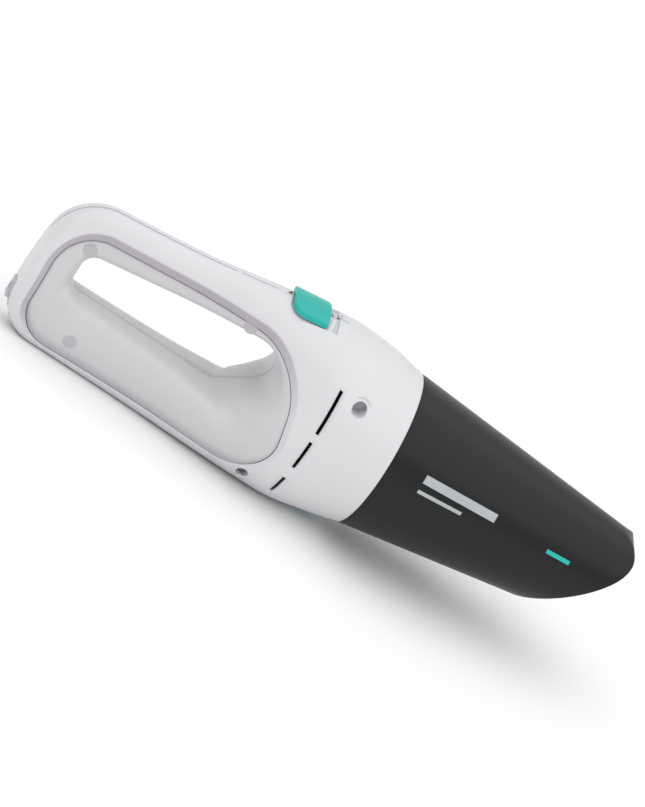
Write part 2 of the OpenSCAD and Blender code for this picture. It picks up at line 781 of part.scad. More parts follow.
// Round cone of the cup, moved in by d, from x0 past the nose
module cup_cone(d, x0) {
    far = cup_end + 20;
    translate([x0, 0, 0]) rotate([0, 90, 0])
        cylinder(r1 = cup_radius(x0) - d, r2 = cup_radius(far) - d, h = far - x0, $fn = 96);
}
neck_radius = seam_radius - wall - slide_gap;
neck_wall = 2;
rib_count = 8;
// What opens the mouth: everything past the slanted rim, under the nose
module mouth_hole() {
    polygon([[mouth_back - 3, -cup_radius(mouth_back)], [cup_end - cup_wall - 1, nose_z - 1],
        [cup_end + 40, nose_z - 1], [cup_end + 40, -90], [mouth_back - 40, -90]]);
}
module dust_cup() {
    color("dimgray") {
        difference() {
            intersection() {
                cup_cone(0, body_length + seat_gap);
                across(-90, 90) cup_side(0);
            }
            intersection() {
                cup_cone(cup_wall, body_length - past);
                across(-90, 90) union() {
                    cup_side(cup_wall);
                    mouth_hole();
                }
            }
        }
        difference() {
            bar_x(body_length - neck_length, body_length + 3, 2 * neck_radius, 96);
            bar_x(body_length - neck_length - past, body_length + 4, 2 * (neck_radius - neck_wall), 96);
        }
        // Ribs that join the neck to the wall, drafted like moulded ones
        for (i = [0 : rib_count - 1]) {
            rotate([360 * (i + 0.5) / rib_count, 0, 0]) hull() {
                translate([body_length + 2, -0.8, neck_radius - neck_wall - 0.5]) cube([1, 1.6, 1.5]);
                translate([body_length + 20, -0.5, cup_radius(body_length + 20) - cup_wall - 0.2])
                    cube([1, 1, 0.6]);
            }
        }
    }
}
module cup_seal() {
    color("black") ring_x_solid(bulkhead_x + bulkhead_thick + 0.3, body_length - neck_length - 0.05,
        2 * neck_radius - 0.4, 2 * (neck_radius - neck_wall - 1));
}

// ---- Filter ----
filter_x = bulkhead_x + bulkhead_thick + 0.4;
flange_thick = 2;
seal_width = 5;
seal_thick = 1.2;
filter_tip = 44;
filter_front = body_length + filter_length;
leg_count = 4;
screen_thick = 0.8;
module filter_seal() {
    color("black") ring_x_solid(filter_x, filter_x + seal_thick, filter_diameter + 6,
        filter_diameter - 2 * seal_width);
}
// Cone from the filter's base to its tip, moved in by d
module filter_cone(d) {
    translate([filter_x + seal_thick + flange_thick, 0, 0]) rotate([0, 90, 0])
        cylinder(r1 = filter_diameter / 2 - 4 - d, r2 = filter_tip / 2 - d,
            h = filter_front - filter_x - seal_thick - 2 * flange_thick, $fn = 96);
}
module filter_frame() {
    color("gray") {
        ring_x_solid(filter_x + seal_thick, filter_x + seal_thick + flange_thick, filter_diameter + 6,
            filter_diameter - 12);
        difference() {
            bar_x(filter_front - flange_thick, filter_front, filter_tip, 96);
            bar_x(filter_front - 0.8, filter_front + past, 14);
        }
        difference() {
            filter_cone(screen_thick + seat_gap);
            filter_cone(screen_thick + seat_gap + 1.6);
            for (i = [0 : leg_count - 1]) {
                rotate([360 * i / leg_count, 0, 0]) translate([filter_x, 3, 3])
                    cube([filter_length + 20, 60, 60]);
            }
        }
    }
}
module filter_screen() {
    color("lightsteelblue") difference() {
        filter_cone(0);
        filter_cone(screen_thick);
    }
}
pleat_count = 24;
pleat_outer = filter_tip / 2 - 4;
pleat_depth = 6;
pleat_thick = 0.9;
module pleat_star(d) {
    polygon([for (i = [0 : 2 * pleat_count - 1])
        let (a = 180 * i / pleat_count, r = pleat_outer - d - (i % 2) * pleat_depth)
        [r * cos(a), r * sin(a)]]);
}
module pleated_filter() {
    color("white") translate([filter_x + 2, 0, 0]) rotate([0, 90, 0]) {
        linear_extrude(filter_length - 8) difference() {
            pleat_star(0);
            pleat_star(pleat_thick);
        }
        difference() {
            cylinder(r = filter_diameter / 2 - 7, h = 1.1);
            translate([0, 0, -past]) cylinder(r = pleat_outer - pleat_depth - 1, h = 4);
        }
    }
}

// ---- Inlet ----
guard_x = body_length + 101;
guard_thick = 2;
guard_radius = cup_radius(guard_x + guard_thick) - cup_wall - 0.3;
door_height = 26;
door_width = 36;
flap_thick = 1.6;
pin_diameter = 2.4;
pin_x = guard_x - 2.4;
pin_z = door_height / 2 + 3.5;
flap_eye = 4.4;
module inlet_guard() {
    color("dimgray") difference() {
        union() {
            bar_x(guard_x, guard_x + guard_thick, 2 * guard_radius, 96);
            for (side = [-1, 1]) {
                translate([pin_x - 2.2, side * (door_width / 2 + 4) - 1, pin_z - 2.2])
                    cube([guard_x - pin_x + 3, 2, 4.4]);
            }
        }
        translate([guard_x - past, -door_width / 2, -door_height / 2])
            cube([guard_thick + 2 * past, door_width, door_height]);
        translate([pin_x, door_width, pin_z]) rotate([90, 0, 0])
            cylinder(d = pin_diameter, h = 2 * door_width);
    }
}
module flap_pin() {
    color("silver") translate([pin_x, door_width / 2 + 5, pin_z]) rotate([90, 0, 0])
        cylinder(d = pin_diameter, h = door_width + 10);
}
module inlet_flap() {
    color("black") translate([pin_x, 0, pin_z]) difference() {
        union() {
            translate([-flap_thick + 1.6, -door_width / 2 - 1.5, -pin_z - door_height / 2 - 1.5])
                cube([flap_thick, door_width + 3, pin_z + door_height / 2 + 1.5]);
            translate([0, door_width / 2 + 1.5, 0]) rotate([90, 0, 0])
                cylinder(d = flap_eye, h = door_width + 3);
        }
        translate([0, door_width, 0]) rotate([90, 0, 0])
            cylinder(d = pin_diameter + 2 * running_gap, h = 2 * door_width);
    }
}

placed() housing_right();
placed() housing_left();
placed() loop_liner_right();
placed() loop_liner_left();
placed() screw_plugs();
placed() housing_screws();
placed() switch_slider();
placed() switch_carrier();
placed() power_switch();
placed() battery_cells();
placed() cell_straps();
placed() cell_cradle();
placed() circuit_board();
placed() charging_socket();
placed() charge_light();
placed() leads();
placed() motor_can();
placed() motor_end_cap();
placed() motor_magnets();
placed() motor_armature();
placed() motor_bearings();
placed() motor_shaft();
placed() impeller();
placed() motor_mount();
placed() motor_isolator();
placed() fan_shroud();
placed() release_button();
placed() release_spring();
placed() dust_cup();
placed() cup_seal();
placed() filter_frame();
placed() filter_screen();
placed() pleated_filter();
placed() filter_seal();
placed() inlet_guard();
placed() inlet_flap();
placed() flap_pin();
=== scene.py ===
# Cordless handheld vacuum: two moulded shells with a hand loop, a sliding switch and a dust cup.
import json
import math
import bmesh
import bpy
from mathutils import Matrix, Vector
from mathutils.bvhtree import BVHTree


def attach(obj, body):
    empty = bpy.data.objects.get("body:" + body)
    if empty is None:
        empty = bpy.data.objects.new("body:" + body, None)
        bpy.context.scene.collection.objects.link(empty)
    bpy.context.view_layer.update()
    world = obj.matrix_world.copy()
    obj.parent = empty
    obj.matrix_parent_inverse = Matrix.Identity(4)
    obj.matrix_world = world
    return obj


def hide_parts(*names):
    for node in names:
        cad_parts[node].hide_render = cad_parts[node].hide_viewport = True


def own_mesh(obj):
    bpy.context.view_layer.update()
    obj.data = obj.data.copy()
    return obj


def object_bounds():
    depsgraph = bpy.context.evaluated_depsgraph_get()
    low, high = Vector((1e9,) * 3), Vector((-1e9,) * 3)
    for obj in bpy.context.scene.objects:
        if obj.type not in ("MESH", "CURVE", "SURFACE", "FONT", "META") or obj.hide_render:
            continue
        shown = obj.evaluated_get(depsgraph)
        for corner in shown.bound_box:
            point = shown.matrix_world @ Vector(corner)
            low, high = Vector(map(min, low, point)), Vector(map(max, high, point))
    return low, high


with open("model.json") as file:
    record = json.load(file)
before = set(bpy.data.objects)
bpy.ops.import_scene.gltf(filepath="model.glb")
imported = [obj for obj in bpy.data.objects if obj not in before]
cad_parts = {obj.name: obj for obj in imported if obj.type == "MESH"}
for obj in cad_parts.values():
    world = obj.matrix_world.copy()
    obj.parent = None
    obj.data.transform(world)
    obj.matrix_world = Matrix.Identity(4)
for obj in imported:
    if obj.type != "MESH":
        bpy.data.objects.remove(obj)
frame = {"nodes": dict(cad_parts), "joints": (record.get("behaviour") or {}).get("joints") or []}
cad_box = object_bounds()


# ---- The machine's own frame ----
# Every piece is shaped along the motor's axis, in millimetres: X runs from the rear end to the nose,
# Z = 0 is the axis, and the right-hand side is towards -Y. One matrix puts a finished piece in its place.
joints = {joint["name"]: joint for joint in frame["joints"]}
spin_axis = Vector(joints["fan_spin"]["axis"])
# The record's point on the motor's axis lies this far ahead of the rear end
SPIN_POINT = 200.0
upright = spin_axis.cross(Vector((0, 1, 0)))
machine = Matrix((spin_axis, (0, 1, 0), upright)).transposed().to_4x4()
machine.translation = Vector(joints["fan_spin"]["pos_m"]) - spin_axis * SPIN_POINT / 1000
machine = machine @ Matrix.Scale(0.001, 4)


# ---- Camera ----
# A long lens well away from the machine, behind its right rear and above it, rolled so that the nose hangs.
# The aim and the directions are in the machine's own frame.
CAMERA_AWAY = 5000.0
CAMERA_AIM = Vector((184.4, -35.4, 19.3))
CAMERA_RIGHT = Vector((0.8482, 0.0017, 0.5291)).normalized()
CAMERA_UP = Vector((-0.4847, 0.402, 0.7768)).normalized()
FRAME_HEIGHT_MM = 467.3
SENSOR = 36.0
camera_data = bpy.data.cameras.new("studio_camera")
camera_data.sensor_width = SENSOR
camera_data.lens = SENSOR * CAMERA_AWAY / FRAME_HEIGHT_MM
camera_data.clip_end = 100
camera = bpy.data.objects.new("studio_camera", camera_data)
bpy.context.scene.collection.objects.link(camera)
camera_back = CAMERA_RIGHT.cross(CAMERA_UP).normalized()
camera_turn = Matrix((CAMERA_RIGHT, camera_back.cross(CAMERA_RIGHT), camera_back)).transposed()
camera.matrix_world = machine.to_3x3().normalized().to_4x4() @ camera_turn.to_4x4()
camera.matrix_world.translation = machine @ (CAMERA_AIM + camera_back * CAMERA_AWAY)
bpy.context.scene.camera = camera


# ---- Housing: right and left shells ----
# Two white ABS shells, injection moulded with a fine spark-eroded skin, screwed together along the middle
# plane. Each has the hand recess with its sloped lip, three vent slots and a pocket for a deep screw.
LENGTH = 235.0
SEAM_RADIUS = 50.0
WALL = 2.3
REST_DEPTH = 46.2
REST_SLOPE = math.tan(math.radians(3))
REST_CUT = 1.5
CORNER_TOP = 30.0
CORNER_LOW = 25.0
CORNER_PLAN = 10.0
LOW_WIDTHS = [(0, 19), (30, 21), (60, 22.5), (100, 27.5), (140, 40), (167, 49), (190, 53), (215, 52.2),
              (235, 50)]
TOP_WIDTHS = [(0, 15), (30, 15.5), (60, 16), (100, 17.5), (140, 28), (167, 42), (190, 53), (215, 52.2),
              (235, 50)]
TOP_LINE = [(0, 46), (30, 47), (86, 50), (132, 55), (167, 57.6), (190, 58), (215, 55), (235, 50)]
UNDER_LINE = [(x, REST_DEPTH + x * REST_SLOPE + REST_CUT) for x in (0, 40, 90, 132, 167, 190)]
UNDER_LINE += [(215, UNDER_LINE[-1][1] - 3.6), (235, 50)]
SQUARENESS = [(0, 3), (100, 2.8), (150, 2.4), (190, 2.05), (235, 2)]
NARROW_FROM = -12.0
NARROW_TO = 34.0


def curve(points, x):
    """Height at x of the smooth curve through the points."""
    last = len(points) - 1
    i = next((k for k in range(last) if x <= points[k + 1][0]), last - 1)

    def slope(k):
        before, after = points[max(k - 1, 0)], points[min(k + 1, last)]
        return (after[1] - before[1]) / (after[0] - before[0])
    step = points[i + 1][0] - points[i][0]
    t = (x - points[i][0]) / step
    return (points[i][1] * (2 * t**3 - 3 * t**2 + 1) + slope(i) * step * (t**3 - 2 * t**2 + t)
            + points[i + 1][1] * (3 * t**2 - 2 * t**3) + slope(i + 1) * step * (t**3 - t**2))


def smooth(t):
    """Eases from 0 to 1 as t does."""
    t = min(max(t, 0.0), 1.0)
    return t * t * (3 - 2 * t)


def corner_loss(x, radius):
    """What a rounded end takes off, x ahead of the rear end."""
    return 0.0 if x >= radius else radius - math.sqrt(max(radius**2 - (radius - max(x, 0.0))**2, 0.0))


def top_at(x):
    return curve(TOP_LINE, x) - corner_loss(x, CORNER_TOP)


def under_at(x):
    """The underside, where the round belly is cut flat as the face that it rests on."""
    return -curve(UNDER_LINE, x) + corner_loss(x, CORNER_LOW)


def half_width(x, z):
    share = smooth((z - NARROW_FROM) / (NARROW_TO - NARROW_FROM))
    widest = (1 - share) * curve(LOW_WIDTHS, x) + share * curve(TOP_WIDTHS, x)
    return widest - corner_loss(x, CORNER_PLAN)


def skin_y(x, z):
    """Distance from the middle plane to the body's skin at a place in the side view."""
    top, under, power = top_at(x), under_at(x), curve(SQUARENESS, x)
    rise = min(abs(2 * z - top - under) / max(top - under, 0.01), 1.0)
    return half_width(x, z) * (1 - rise**power)**(1 / power)


def skin_z(x, y):
    """Height of the body's top at x, y off the middle plane."""
    top, under, power = top_at(x), under_at(x), curve(SQUARENESS, x)
    z = top
    for _ in range(4):
        share = min(abs(y) / half_width(x, z), 1)
        z = (top + under) / 2 + (top - under) / 2 * (1 - share**power)**(1 / power)
    return z


def skin_ring(x, angle):
    """Point on the ring of the right-hand skin at x, from -90 degrees underneath to 90 degrees on top."""
    top, under, power = top_at(x), under_at(x), curve(SQUARENESS, x)
    rise = math.copysign(abs(math.sin(math.radians(angle)))**(2 / power), angle)
    z = (top + under) / 2 + (top - under) / 2 * rise
    return Vector((x, -half_width(x, z) * abs(math.cos(math.radians(angle)))**(2 / power), z))


def rounded_outline(circles, steps):
    """Points and outward directions round the tight loop about four circles, with the same steps for each
    arc and straight, so that two such loops pair up point by point."""
    count = len(circles)
    turns = []
    for i, (x, z, radius) in enumerate(circles):
        next_x, next_z, next_radius = circles[(i + 1) % count]
        gap = math.hypot(next_x - x, next_z - z)
        turn = math.atan2(next_z - z, next_x - x) - math.acos((radius - next_radius) / gap)
        turns.append(turn if not turns else turns[-1] + (turn - turns[-1]) % math.tau)
    loop = []
    for i, (x, z, radius) in enumerate(circles):
        start = turns[i - 1] - (math.tau if i == 0 else 0)
        arc, straight = steps[i]
        for k in range(arc):
            angle = start + (turns[i] - start) * k / arc
            loop.append((x + radius * math.cos(angle), z + radius * math.sin(angle), angle))
        next_x, next_z, next_radius = circles[(i + 1) % count]
        out = Vector((math.cos(turns[i]), math.sin(turns[i])))
        here = Vector((x, z)) + radius * out
        there = Vector((next_x, next_z)) + next_radius * out
        for k in range(straight):
            point = here.lerp(there, k / straight)
            loop.append((point.x, point.y, turns[i]))
    return [(Vector((x, z)), Vector((math.cos(angle), math.sin(angle)))) for x, z, angle in loop]


# Front low, front top, rear top and rear low rounds of the hand recess, each with its middle and radius
RECESS = [(146, -16.5, 28), (134, -4, 37), (36, 4, 26), (33, -21.5, 22)]
STEPS = [(40, 8), (36, 56), (32, 14), (26, 60)]
recess = rounded_outline(RECESS, STEPS)
SPOKES = len(recess)
# The lip's width, depth and painted shade along the top, rear, front and underside of the recess
LIP_WIDTHS = (6.5, 4.5, 3.2, 0.6)
LIP_DEPTHS = (4.6, 4.4, 1.5, 0.5)
LIP_SHADES = (1, 0.9, 0.15, 0.1)


def lip(out, top, rear, front, under):
    """Blends the lip's size between the four sides of the recess."""
    return (top * max(out.y, 0)**2 + under * min(out.y, 0)**2
            + front * max(out.x, 0)**2 + rear * min(out.x, 0)**2)


def sheet_of(bm, across, along, place):
    """A sheet of across by along faces, each corner moved to place(i, j). Returns the corners, i and j."""
    grid = bmesh.ops.create_grid(bm, x_segments=across, y_segments=along, size=0.5)
    corners = [(v, round((v.co.x + 0.5) * across), round((v.co.y + 0.5) * along)) for v in grid["verts"]]
    for vert, i, j in corners:
        vert.co = place(i, j)
    return corners


def finished(bm, name, body, material, replaced=(), wall=0, merge=0.004, sharp=35, rounded=0):
    """Closes the doubles, turns the faces outwards, and puts the piece in its place on its body."""
    bmesh.ops.remove_doubles(bm, verts=bm.verts, dist=merge)
    bmesh.ops.dissolve_degenerate(bm, edges=bm.edges, dist=merge / 4)
    bmesh.ops.recalc_face_normals(bm, faces=bm.faces)
    # The outside of a sheet looks away from the middle plane
    if sum(face.normal.y * face.calc_center_median().y * face.calc_area() for face in bm.faces) < 0:
        bmesh.ops.reverse_faces(bm, faces=bm.faces)
    bmesh.ops.transform(bm, matrix=machine, verts=bm.verts)
    for edge in bm.edges:
        edge.smooth = edge.calc_face_angle(0) < math.radians(sharp)
    for face in bm.faces:
        face.smooth = True
    mesh = bpy.data.meshes.new(name)
    bm.to_mesh(mesh)
    bm.free()
    piece = bpy.data.objects.new(name, mesh)
    bpy.context.scene.collection.objects.link(piece)
    mesh.materials.append(material)
    if wall:
        thick = piece.modifiers.new("wall", "SOLIDIFY")
        thick.thickness = wall / 1000
        thick.offset = -1
    if rounded:
        rounding = piece.modifiers.new("edges", "BEVEL")
        rounding.width = rounded / 1000
        rounding.segments = 3
        rounding.limit_method = "ANGLE"
        rounding.angle_limit = math.radians(sharp)
    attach(piece, body)
    if replaced:
        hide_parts(*replaced)
    return piece


def srgb(code):
    """Linear colour of an sRGB hex code."""
    parts = [int(code[i:i + 2], 16) / 255 for i in (1, 3, 5)]
    return (*[p / 12.92 if p <= 0.04045 else ((p + 0.055) / 1.055)**2.4 for p in parts], 1.0)


def add(tree, kind, links=(), **settings):
    """Adds a node, sets its inputs and settings by name, and links (output, input) pairs to it."""
    node = tree.nodes.new(kind)
    for key, value in settings.items():
        found = [socket for socket in node.inputs if socket.name.replace(" ", "_") == key]
        if found:
            found[0].default_value = value
        else:
            setattr(node, key, value)
    for output, name in links:
        tree.links.new(output, node.inputs[name])
    return node


# Size of the flow clouds in a moulded part's colour
CLOUD_SIZE = 45.0


def moulded(name, light, dark, rough, grain, relief, ior=1.54):
    """Moulded plastic: a fine eroded grain, faint flow clouds in its colour, and gloss that the grain breaks
    up. grain is its size and relief its depth, both in millimetres."""
    material = bpy.data.materials.new(name)
    material.use_nodes = True
    tree = material.node_tree
    shader = tree.nodes["Principled BSDF"]
    shader.inputs["IOR"].default_value = ior
    place = add(tree, "ShaderNodeTexCoord").outputs["Object"]
    clouds = add(tree, "ShaderNodeTexNoise", [(place, "Vector")], Scale=1000 / CLOUD_SIZE, Detail=3,
                 Roughness=0.45)
    tint = add(tree, "ShaderNodeMix", [(clouds.outputs["Fac"], "Factor")], data_type="RGBA")
    tint.inputs[6].default_value = srgb(light)
    tint.inputs[7].default_value = srgb(dark)
    tree.links.new(tint.outputs[2], shader.inputs["Base Color"])
    grains = add(tree, "ShaderNodeTexNoise", [(place, "Vector")], Scale=1000 / grain, Detail=2)
    gloss = add(tree, "ShaderNodeMapRange", [(grains.outputs["Fac"], "Value")], From_Min=0.3, From_Max=0.7,
                To_Min=rough - 0.06, To_Max=rough + 0.06)
    tree.links.new(gloss.outputs["Result"], shader.inputs["Roughness"])
    bump = add(tree, "ShaderNodeBump", [(grains.outputs["Fac"], "Height")], Distance=relief / 1000,
               Strength=0.6)
    tree.links.new(bump.outputs["Normal"], shader.inputs["Normal"])
    return material


def from_node(node, body, material, edge=0.3, name=None, sharp=38):
    """A piece with its CAD node's own shape: flat faces cleaned, and edges rounded by edge mm."""
    bm = bmesh.new()
    bm.from_mesh(frame["nodes"][node].data)
    bmesh.ops.transform(bm, matrix=machine.inverted(), verts=bm.verts)
    bmesh.ops.remove_doubles(bm, verts=bm.verts, dist=0.004)
    bmesh.ops.dissolve_limit(bm, angle_limit=math.radians(1), verts=bm.verts, edges=bm.edges)
    return finished(bm, name or node + "_moulded", body, material, [node], sharp=sharp, rounded=edge)


def shaded(material, code):
    """Tints a moulded material towards a darker colour where the piece's own shade attribute says so, as
    painted shade.
    """
    tree = material.node_tree
    shader = tree.nodes["Principled BSDF"]
    before = shader.inputs["Base Color"].links[0].from_socket
    amount = add(tree, "ShaderNodeAttribute", attribute_name="shade").outputs["Fac"]
    tint = add(tree, "ShaderNodeMix", [(amount, "Factor")], data_type="RGBA")
    tree.links.new(before, tint.inputs[6])
    tint.inputs[7].default_value = srgb(code)
    tree.links.new(tint.outputs[2], shader.inputs["Base Color"])
    return material


# Satin white ABS. Its grain is drawn at twice its real 0.25 mm so that it shows
# The lip's strip is tinted towards #B4B0B7 as painted shade where it faces away from the light
white_abs = shaded(moulded("white_abs_moulded", "#DDDCDF", "#D7D6D9", 0.42, 0.5, 0.02), "#B4B0B7")

FRONT_X = 181.0
# Each vent slot starts and ends at these angles up from the side
SLOT_ARCS = [(9, 40), (-23, 1), (-54, -31)]
SLOT_X = (186.9, 189.1)
# The release button's opening runs from this angle down to the middle plane
CATCH_ANGLE = -82.8
CATCH_X = (212.65, 225.35)


def ray_to_edge(start, out):
    """Point where a line across the side view leaves the shell's outline or reaches the front rings."""
    near, far = 0.0, 150.0
    for _ in range(40):
        middle = (near + far) / 2
        point = start + out * middle
        inside = 0 <= point.x <= FRONT_X and under_at(point.x) < point.y < top_at(point.x)
        near, far = (middle, far) if inside else (near, middle)
    return start + out * near


edge_points = [ray_to_edge(point + out * lip(out, *LIP_WIDTHS), out) for point, out in recess]
front = [k for k, point in enumerate(edge_points) if point.x > FRONT_X - 0.01]
# The front spokes run on from the lower one to the upper one, over the start of the loop
first = next(k for k in front if k - 1 not in front and k > 0)
front = [(first + k) % SPOKES for k in range(len(front))]
stops = sorted([-90, CATCH_ANGLE, 90] + [angle for arc in SLOT_ARCS for angle in arc])
columns = len(front) - 1
marks = [round(columns * (stop + 90) / 180) for stop in stops]


def column_angle(k):
    """Angle of front column k. Columns fall on the ends of the slots."""
    i = next(n for n in range(len(stops) - 1) if k <= marks[n + 1])
    return stops[i] + (stops[i + 1] - stops[i]) * (k - marks[i]) / (marks[i + 1] - marks[i])


for k, spoke in enumerate(front):
    ring_point = skin_ring(FRONT_X, column_angle(k))
    edge_points[spoke] = Vector((ring_point.x, ring_point.z))

LIP_LOOPS = 8
# The lip's straight slope ends at this share of its width
LIP_EASE = 0.8
SIDE_LOOPS = 22
GROOVE = 0.12


def settled(x, y, z):
    """Lifts what would reach below the face that the machine rests on."""
    return Vector((x, y, max(z, -REST_DEPTH - x * REST_SLOPE)))


def shell_point(spoke, loop):
    """A point of the right shell: down the lip of the recess, then over the side to the middle plane."""
    point, out = recess[spoke % SPOKES]
    width = lip(out, *LIP_WIDTHS)
    depth = lip(out, *LIP_DEPTHS)
    start = point + out * width
    if loop <= LIP_LOOPS:
        # The lip slopes in steadily, and its outer edge is rounded over
        t = loop / LIP_LOOPS
        place = point + out * width * t
        sunk = depth * (1 - t) if t < LIP_EASE else depth * (1 - t)**2 / (1 - LIP_EASE)
        return settled(place.x, -skin_y(place.x, place.y) + sunk, place.y)
    edge = edge_points[spoke % SPOKES]
    t = (loop - LIP_LOOPS) / SIDE_LOOPS
    widest = skin_y(start.x, start.y)
    last = skin_y(edge.x, edge.y) if spoke % SPOKES in front else 0.0
    sweep = math.acos(min(last / widest, 1.0)) if last < widest else 0.0
    share = math.sin(sweep * t) / math.sin(sweep) if sweep > 0.15 else t
    place = start.lerp(edge, share)
    return settled(place.x, -skin_y(place.x, place.y), place.y)


def shell():
    """The right-hand shell's skin."""
    bm = bmesh.new()
    shade = bm.verts.layers.float.new("shade")
    for vert, i, j in sheet_of(bm, SPOKES, LIP_LOOPS + SIDE_LOOPS, shell_point):
        # The sloped strip of the lip is tinted darker along its top and rear: painted shade, where the strip
        # faces away from the light
        vert[shade] = lip(recess[i % SPOKES][1], *LIP_SHADES) * min(max((LIP_LOOPS - j) / 2, 0), 1)
    rear = [(k + front[-1]) % SPOKES for k in range(SPOKES - columns + 1)]
    # The small flat end at the rear closes to the middle plane
    last_loop = LIP_LOOPS + SIDE_LOOPS
    sheet_of(bm, len(rear) - 1, 1, lambda i, j: shell_point(rear[i], last_loop) * Vector((1, 1 - j, 1)))
    rings = [FRONT_X, 184, *SLOT_X, 192, 195, 198, 201, 204, 207, 210, CATCH_X[0], 216, 219, 222,
             CATCH_X[1], 229, 232, LENGTH - 0.8, LENGTH - 0.25, LENGTH]
    trim = {LENGTH - 0.25: 0.15, LENGTH: 0.5}

    def front_point(i, j):
        point = skin_ring(rings[j], column_angle(i))
        shrink = 1 - trim.get(rings[j], 0) / SEAM_RADIUS
        return settled(point.x, point.y * shrink, point.z * shrink)
    sheet_of(bm, columns, len(rings) - 1, front_point)
    bmesh.ops.remove_doubles(bm, verts=bm.verts, dist=0.01)

    def in_slot(place):
        angle = math.degrees(math.atan2(place.z, -place.y))
        if SLOT_X[0] < place.x < SLOT_X[1]:
            return any(low < angle < high for low, high in SLOT_ARCS)
        return CATCH_X[0] < place.x < CATCH_X[1] and angle < CATCH_ANGLE
    open_faces = [face for face in bm.faces if in_slot(face.calc_center_median())]
    bmesh.ops.delete(bm, geom=open_faces, context="FACES")
    return bm


def refine(bm, faces, cuts, settle):
    """Splits the faces finer and settles every corner of them back on its surface."""
    edges = list({edge for face in faces for edge in face.edges})
    corners = {vert for face in faces for vert in face.verts}
    made = bmesh.ops.subdivide_edges(bm, edges=edges, cuts=cuts, use_grid_fill=True)
    corners |= {item for item in made["geom"] if item.is_valid and isinstance(item, bmesh.types.BMVert)}
    for vert in [vert for vert in corners if vert.is_valid]:
        vert.co = settle(vert.co)


BODY_SCREWS = [(202.5, 30.5, 4.6), (168.0, -43.0, 3.6)]
SCREW_DEPTH = 12.0
# The skin is meshed finer this far round a screw pocket, and its rim is looked for this far out
FINE_REACH = 7.0
RIM_REACH = 3.0


def sunk_pocket(bm, place, radius):
    """Opens a round screw pocket, moulded straight in from the side."""
    middle = Vector(place)

    def off_middle(point):
        return (Vector((point.x, point.z)) - middle).length

    def on_side(item, reach):
        return all(off_middle(v.co) < reach and abs(v.co.y + skin_y(v.co.x, v.co.z)) < 0.1
                   for v in item.verts)
    near = [face for face in bm.faces if on_side(face, radius + FINE_REACH)]
    refine(bm, near, 2, lambda point: Vector((point.x, -skin_y(point.x, point.z), point.z)))
    inside = [face for face in bm.faces if off_middle(face.calc_center_median()) < radius
              and on_side(face, radius + RIM_REACH)]
    bmesh.ops.delete(bm, geom=inside, context="FACES")
    rim = [edge for edge in bm.edges if edge.is_boundary and on_side(edge, radius + RIM_REACH)]
    floor_y = -skin_y(*middle) + SCREW_DEPTH
    # Rings from the pocket's rounded rim down its drafted wall, each a radius and how far it is sunk
    rings = ((radius + 0.4, 0.0), (radius + 0.1, 0.1), (radius, 0.4), (radius - 0.1, 0.0))
    for k, (ring_radius, sunk) in enumerate(rings):
        if k:
            made = bmesh.ops.extrude_edge_only(bm, edges=rim)["geom"]
            rim = [item for item in made if isinstance(item, bmesh.types.BMEdge)]
        for vert in {vert for edge in rim for vert in edge.verts}:
            out = (Vector((vert.co.x, vert.co.z)) - middle).normalized() * ring_radius
            x, z = middle + out
            vert.co = Vector((x, -skin_y(x, z) + sunk if k < 3 else floor_y, z))
    bmesh.ops.contextual_create(bm, geom=rim)


SWITCH_X = 154.0
SWITCH_LENGTH = 23.5
SWITCH_WIDTH = 34.0
SWITCH_HEIGHT = 3.0
SWITCH_TILT = math.radians(3.5)
CROWN = 38.0
SWITCH_TRAVEL = 6.0
SWITCH_ROUND = 8.0
POCKET_GAP = 0.8
POCKET_SINK = 1.2
# The pocket's rim is a slope this wide, and this share of it lies outside the pocket's outline
RIM_SLOPE = 1.1
RIM_OUTSIDE = 0.3
# The skin is meshed finer this far round the pocket, on top of this height
POCKET_FINE = 3.0
ROOF_FROM = 40.0


def pocket_space(x, y):
    """How far inside the thumb switch's pocket a place on the top is. The pocket is round at its rear."""
    along = x - SWITCH_X
    rear = SWITCH_ROUND + POCKET_GAP - math.hypot(
        min(along + SWITCH_LENGTH / 2 - SWITCH_ROUND, 0), max(abs(y) - SWITCH_WIDTH / 2 + SWITCH_ROUND, 0))
    return min(rear, SWITCH_LENGTH / 2 + SWITCH_TRAVEL + POCKET_GAP - along)


def crown_z(x, y, drop):
    """Height of the round that the switch's top follows across the body, drop below the top."""
    rise = top_at(SWITCH_X) + (x - SWITCH_X) * math.tan(SWITCH_TILT)
    return rise + SWITCH_HEIGHT - CROWN + math.sqrt((CROWN - drop)**2 - y * y)


def thumb_pocket(bm):
    """Sinks the shallow pocket that the thumb switch slides in."""
    near = [face for face in bm.faces if all(
        pocket_space(v.co.x, v.co.y) > -POCKET_FINE and v.co.z > ROOF_FROM for v in face.verts)]

    def sunk(point):
        step = smooth(pocket_space(point.x, point.y) / RIM_SLOPE + RIM_OUTSIDE)
        skin = skin_z(point.x, point.y)
        floor = crown_z(point.x, min(abs(point.y), SWITCH_WIDTH / 2 + 2), SWITCH_HEIGHT + POCKET_SINK)
        return Vector((point.x, point.y, skin + (floor - skin) * step))
    refine(bm, near, 6, sunk)


def parting_groove(bm):
    """Chamfers the edge where the shells meet, which shows as a fine line along the middle."""
    rim = [edge for edge in bm.edges if edge.is_boundary
           and all(abs(v.co.y) < 0.01 and v.co.x < LENGTH - 1 for v in edge.verts)]
    made = bmesh.ops.extrude_edge_only(bm, edges=rim)["geom"]
    for vert in {vert for edge in rim for vert in edge.verts}:
        vert.co.y = -GROOVE
    for vert in [item for item in made if isinstance(item, bmesh.types.BMVert)]:
        vert.co -= vert.normal * GROOVE
        vert.co.y = 0.0


